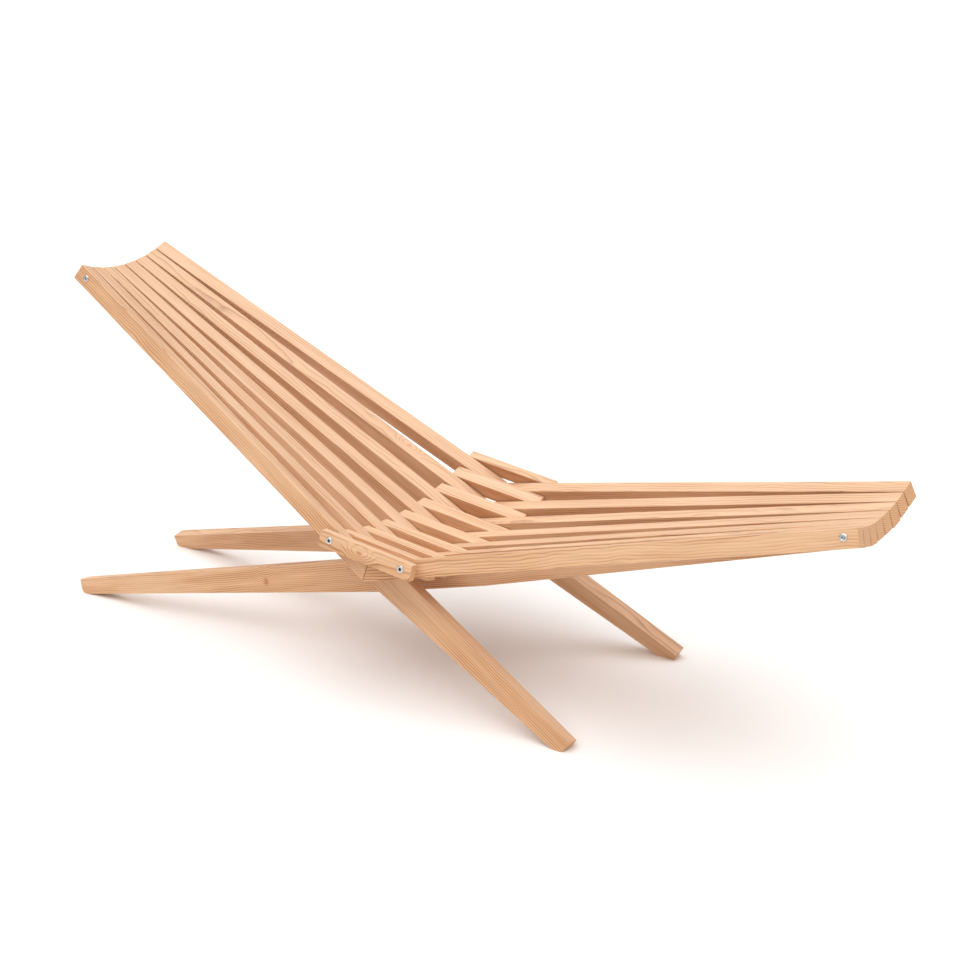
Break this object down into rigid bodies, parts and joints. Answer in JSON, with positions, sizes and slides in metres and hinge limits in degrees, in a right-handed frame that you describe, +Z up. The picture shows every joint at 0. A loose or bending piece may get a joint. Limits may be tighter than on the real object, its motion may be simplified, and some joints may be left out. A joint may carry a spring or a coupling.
{
  "type": "folding beach chair",
  "caption": "Low slatted wooden lounge chair with a scooped back and seat that share their legs, strung on cables, folding flat",
  "frame": {"origin": "middle of the bounding box in X and Y, on the ground that the feet stand on", "axes": "+X to the front of the seat, +Y to the sitter's left, +Z up"},
  "size_m": [1.298, 0.4035, 0.5408],
  "materials": {
    "softwood": "planed softwood with eased edges, oiled",
    "cable": "stranded steel cable",
    "screw": "zinc-plated steel"
  },
  "bodies": {
    "middle_1": {"link_1": "softwood", "link_cable_1": "cable", "link_screws_1": "screw"},
    "middle_2": {"link_2": "softwood", "link_cable_2": "cable"},
    "middle_3": {"link_3": "softwood", "link_cable_3": "cable"},
    "middle_4": {"link_4": "softwood", "link_cable_4": "cable"},
    "middle_5": {"link_5": "softwood", "link_cable_5": "cable"},
    "middle_6": {"link_6": "softwood", "link_cable_6": "cable"},
    "middle_7": {"link_7": "softwood", "link_cable_7": "cable"},
    "middle_8": {"link_8": "softwood", "link_cable_8": "cable"},
    "middle_9": {"link_9": "softwood", "link_cable_9": "cable", "link_screws_9": "screw"},
    "back_1": {"back_slat_1": "softwood", "back_cable_1": "cable", "back_screw_1": "screw"},
    "back_2": {"front_leg_2": "softwood", "back_cable_2": "cable"},
    "back_3": {"back_slat_3": "softwood", "back_cable_3": "cable"},
    "back_4": {"back_slat_4": "softwood", "back_cable_4": "cable"},
    "back_5": {"back_slat_5": "softwood", "back_cable_5": "cable"},
    "back_6": {"back_slat_6": "softwood", "back_cable_6": "cable"},
    "back_7": {"front_leg_7": "softwood", "back_cable_7": "cable"},
    "back_8": {"back_slat_8": "softwood", "back_cable_8": "cable", "back_screw_8": "screw"},
    "seat_1": {"seat_slat_1": "softwood", "seat_cable_1": "cable", "seat_screw_1": "screw"},
    "seat_2": {"seat_slat_2": "softwood", "seat_cable_2": "cable"},
    "seat_3": {"rear_leg_3": "softwood", "seat_cable_3": "cable"},
    "seat_4": {"seat_slat_4": "softwood", "seat_cable_4": "cable"},
    "seat_5": {"seat_slat_5": "softwood", "seat_cable_5": "cable"},
    "seat_6": {"rear_leg_6": "softwood", "seat_cable_6": "cable"},
    "seat_7": {"seat_slat_7": "softwood", "seat_cable_7": "cable"},
    "seat_8": {"seat_slat_8": "softwood", "seat_cable_8": "cable", "seat_screw_8": "screw"}
  },
  "joints": [
    {"name": "back_fold_4", "type": "hinge", "parent": "middle_5", "child": "back_4", "pos_m": [-0.07907, -0.02458, 0.19826], "axis": [0.0343, 0.9989, -0.0308], "range_deg": [0, 65.35]},
    {"name": "back_fold_1", "type": "hinge", "parent": "middle_5", "child": "back_1", "pos_m": [-0.09778, -0.16577, 0.21507], "axis": [0.2308, 0.9506, -0.2074], "range_deg": [0, 67.86]},
    {"name": "back_fold_2", "type": "hinge", "parent": "middle_5", "child": "back_2", "pos_m": [-0.08878, -0.12056, 0.20698], "axis": [0.168, 0.9742, -0.151], "range_deg": [0, 66.62]},
    {"name": "back_fold_3", "type": "hinge", "parent": "middle_5", "child": "back_3", "pos_m": [-0.08239, -0.07326, 0.20124], "axis": [0.1021, 0.9905, -0.0918], "range_deg": [0, 65.78]},
    {"name": "back_fold_5", "type": "hinge", "parent": "middle_5", "child": "back_5", "pos_m": [-0.07907, 0.02458, 0.19826], "axis": [-0.0343, 0.9989, 0.0308], "range_deg": [0, 65.35]},
    {"name": "back_fold_6", "type": "hinge", "parent": "middle_5", "child": "back_6", "pos_m": [-0.08239, 0.07326, 0.20124], "axis": [-0.1021, 0.9905, 0.0918], "range_deg": [0, 65.78]},
    {"name": "back_fold_7", "type": "hinge", "parent": "middle_5", "child": "back_7", "pos_m": [-0.08878, 0.12056, 0.20698], "axis": [-0.168, 0.9742, 0.151], "range_deg": [0, 66.62]},
    {"name": "back_fold_8", "type": "hinge", "parent": "middle_5", "child": "back_8", "pos_m": [-0.09778, 0.16577, 0.21507], "axis": [-0.2308, 0.9506, 0.2074], "range_deg": [0, 67.86]},
    {"name": "seat_fold_1", "type": "hinge", "parent": "middle_5", "child": "seat_1", "pos_m": [0.06324, -0.16579, 0.19319], "axis": [0.2774, -0.9508, 0.1384], "range_deg": [0, 67.96]},
    {"name": "seat_fold_2", "type": "hinge", "parent": "middle_5", "child": "seat_2", "pos_m": [0.05242, -0.12056, 0.18779], "axis": [0.2018, -0.9742, 0.1007], "range_deg": [0, 66.72]},
    {"name": "seat_fold_3", "type": "hinge", "parent": "middle_5", "child": "seat_3", "pos_m": [0.04475, -0.07326, 0.18396], "axis": [0.1227, -0.9906, 0.0612], "range_deg": [0, 65.88]},
    {"name": "seat_fold_4", "type": "hinge", "parent": "seat_4", "child": "middle_5", "pos_m": [0.04076, -0.02458, 0.18197], "axis": [-0.0412, 0.9989, -0.0205], "range_deg": [0, 65.45]},
    {"name": "seat_fold_5", "type": "hinge", "parent": "middle_5", "child": "seat_5", "pos_m": [0.04076, 0.02458, 0.18197], "axis": [-0.0412, -0.9989, -0.0205], "range_deg": [0, 65.45]},
    {"name": "seat_fold_6", "type": "hinge", "parent": "middle_5", "child": "seat_6", "pos_m": [0.04475, 0.07326, 0.18396], "axis": [-0.1227, -0.9906, -0.0612], "range_deg": [0, 65.88]},
    {"name": "seat_fold_7", "type": "hinge", "parent": "middle_5", "child": "seat_7", "pos_m": [0.05242, 0.12056, 0.18779], "axis": [-0.2018, -0.9742, -0.1007], "range_deg": [0, 66.72]},
    {"name": "seat_fold_8", "type": "hinge", "parent": "middle_5", "child": "seat_8", "pos_m": [0.06324, 0.16579, 0.19319], "axis": [-0.2774, -0.9508, -0.1384], "range_deg": [0, 67.96]},
    {"name": "link_roll_1", "type": "hinge", "parent": "middle_5", "child": "middle_1", "pos_m": [-0.0191, -0.0996, 0.19056], "axis": [0.9909, 0, -0.1347], "range_deg": [0, 22.39]},
    {"name": "link_roll_2", "type": "hinge", "parent": "middle_5", "child": "middle_2", "pos_m": [-0.0195, -0.07471, 0.18756], "axis": [0.9909, 0, -0.1347], "range_deg": [0, 16.79]},
    {"name": "link_roll_3", "type": "hinge", "parent": "middle_5", "child": "middle_3", "pos_m": [-0.0198, -0.04981, 0.18542], "axis": [0.9909, 0, -0.1347], "range_deg": [0, 11.2]},
    {"name": "link_roll_4", "type": "hinge", "parent": "middle_5", "child": "middle_4", "pos_m": [-0.01997, -0.02491, 0.18414], "axis": [0.9909, 0, -0.1347], "range_deg": [0, 5.6]},
    {"name": "link_roll_6", "type": "hinge", "parent": "middle_5", "child": "middle_6", "pos_m": [-0.01997, 0.02491, 0.18414], "axis": [-0.9909, 0, 0.1347], "range_deg": [0, 5.6]},
    {"name": "link_roll_7", "type": "hinge", "parent": "middle_5", "child": "middle_7", "pos_m": [-0.0198, 0.04981, 0.18542], "axis": [-0.9909, 0, 0.1347], "range_deg": [0, 11.2]},
    {"name": "link_roll_8", "type": "hinge", "parent": "middle_5", "child": "middle_8", "pos_m": [-0.0195, 0.07471, 0.18756], "axis": [-0.9909, 0, 0.1347], "range_deg": [0, 16.79]},
    {"name": "link_roll_9", "type": "hinge", "parent": "middle_5", "child": "middle_9", "pos_m": [-0.0191, 0.0996, 0.19056], "axis": [-0.9909, 0, 0.1347], "range_deg": [0, 22.39]}
  ],
  "couplings": [
    {"joint": "back_fold_1", "follows": "back_fold_4", "ratio": 1.0384},
    {"joint": "back_fold_2", "follows": "back_fold_4", "ratio": 1.0194},
    {"joint": "back_fold_3", "follows": "back_fold_4", "ratio": 1.0065},
    {"joint": "back_fold_5", "follows": "back_fold_4", "ratio": 1},
    {"joint": "back_fold_6", "follows": "back_fold_4", "ratio": 1.0065},
    {"joint": "back_fold_7", "follows": "back_fold_4", "ratio": 1.0194},
    {"joint": "back_fold_8", "follows": "back_fold_4", "ratio": 1.0384},
    {"joint": "seat_fold_1", "follows": "back_fold_4", "ratio": 1.0399},
    {"joint": "seat_fold_2", "follows": "back_fold_4", "ratio": 1.0209},
    {"joint": "seat_fold_3", "follows": "back_fold_4", "ratio": 1.008},
    {"joint": "seat_fold_4", "follows": "back_fold_4", "ratio": 1.0015},
    {"joint": "seat_fold_5", "follows": "back_fold_4", "ratio": 1.0015},
    {"joint": "seat_fold_6", "follows": "back_fold_4", "ratio": 1.008},
    {"joint": "seat_fold_7", "follows": "back_fold_4", "ratio": 1.0209},
    {"joint": "seat_fold_8", "follows": "back_fold_4", "ratio": 1.0399},
    {"joint": "link_roll_1", "follows": "back_fold_4", "ratio": 0.34263},
    {"joint": "link_roll_2", "follows": "back_fold_4", "ratio": 0.25697},
    {"joint": "link_roll_3", "follows": "back_fold_4", "ratio": 0.17132},
    {"joint": "link_roll_4", "follows": "back_fold_4", "ratio": 0.085658},
    {"joint": "link_roll_6", "follows": "back_fold_4", "ratio": 0.085658},
    {"joint": "link_roll_7", "follows": "back_fold_4", "ratio": 0.17132},
    {"joint": "link_roll_8", "follows": "back_fold_4", "ratio": 0.25697},
    {"joint": "link_roll_9", "follows": "back_fold_4", "ratio": 0.34263}
  ]
}
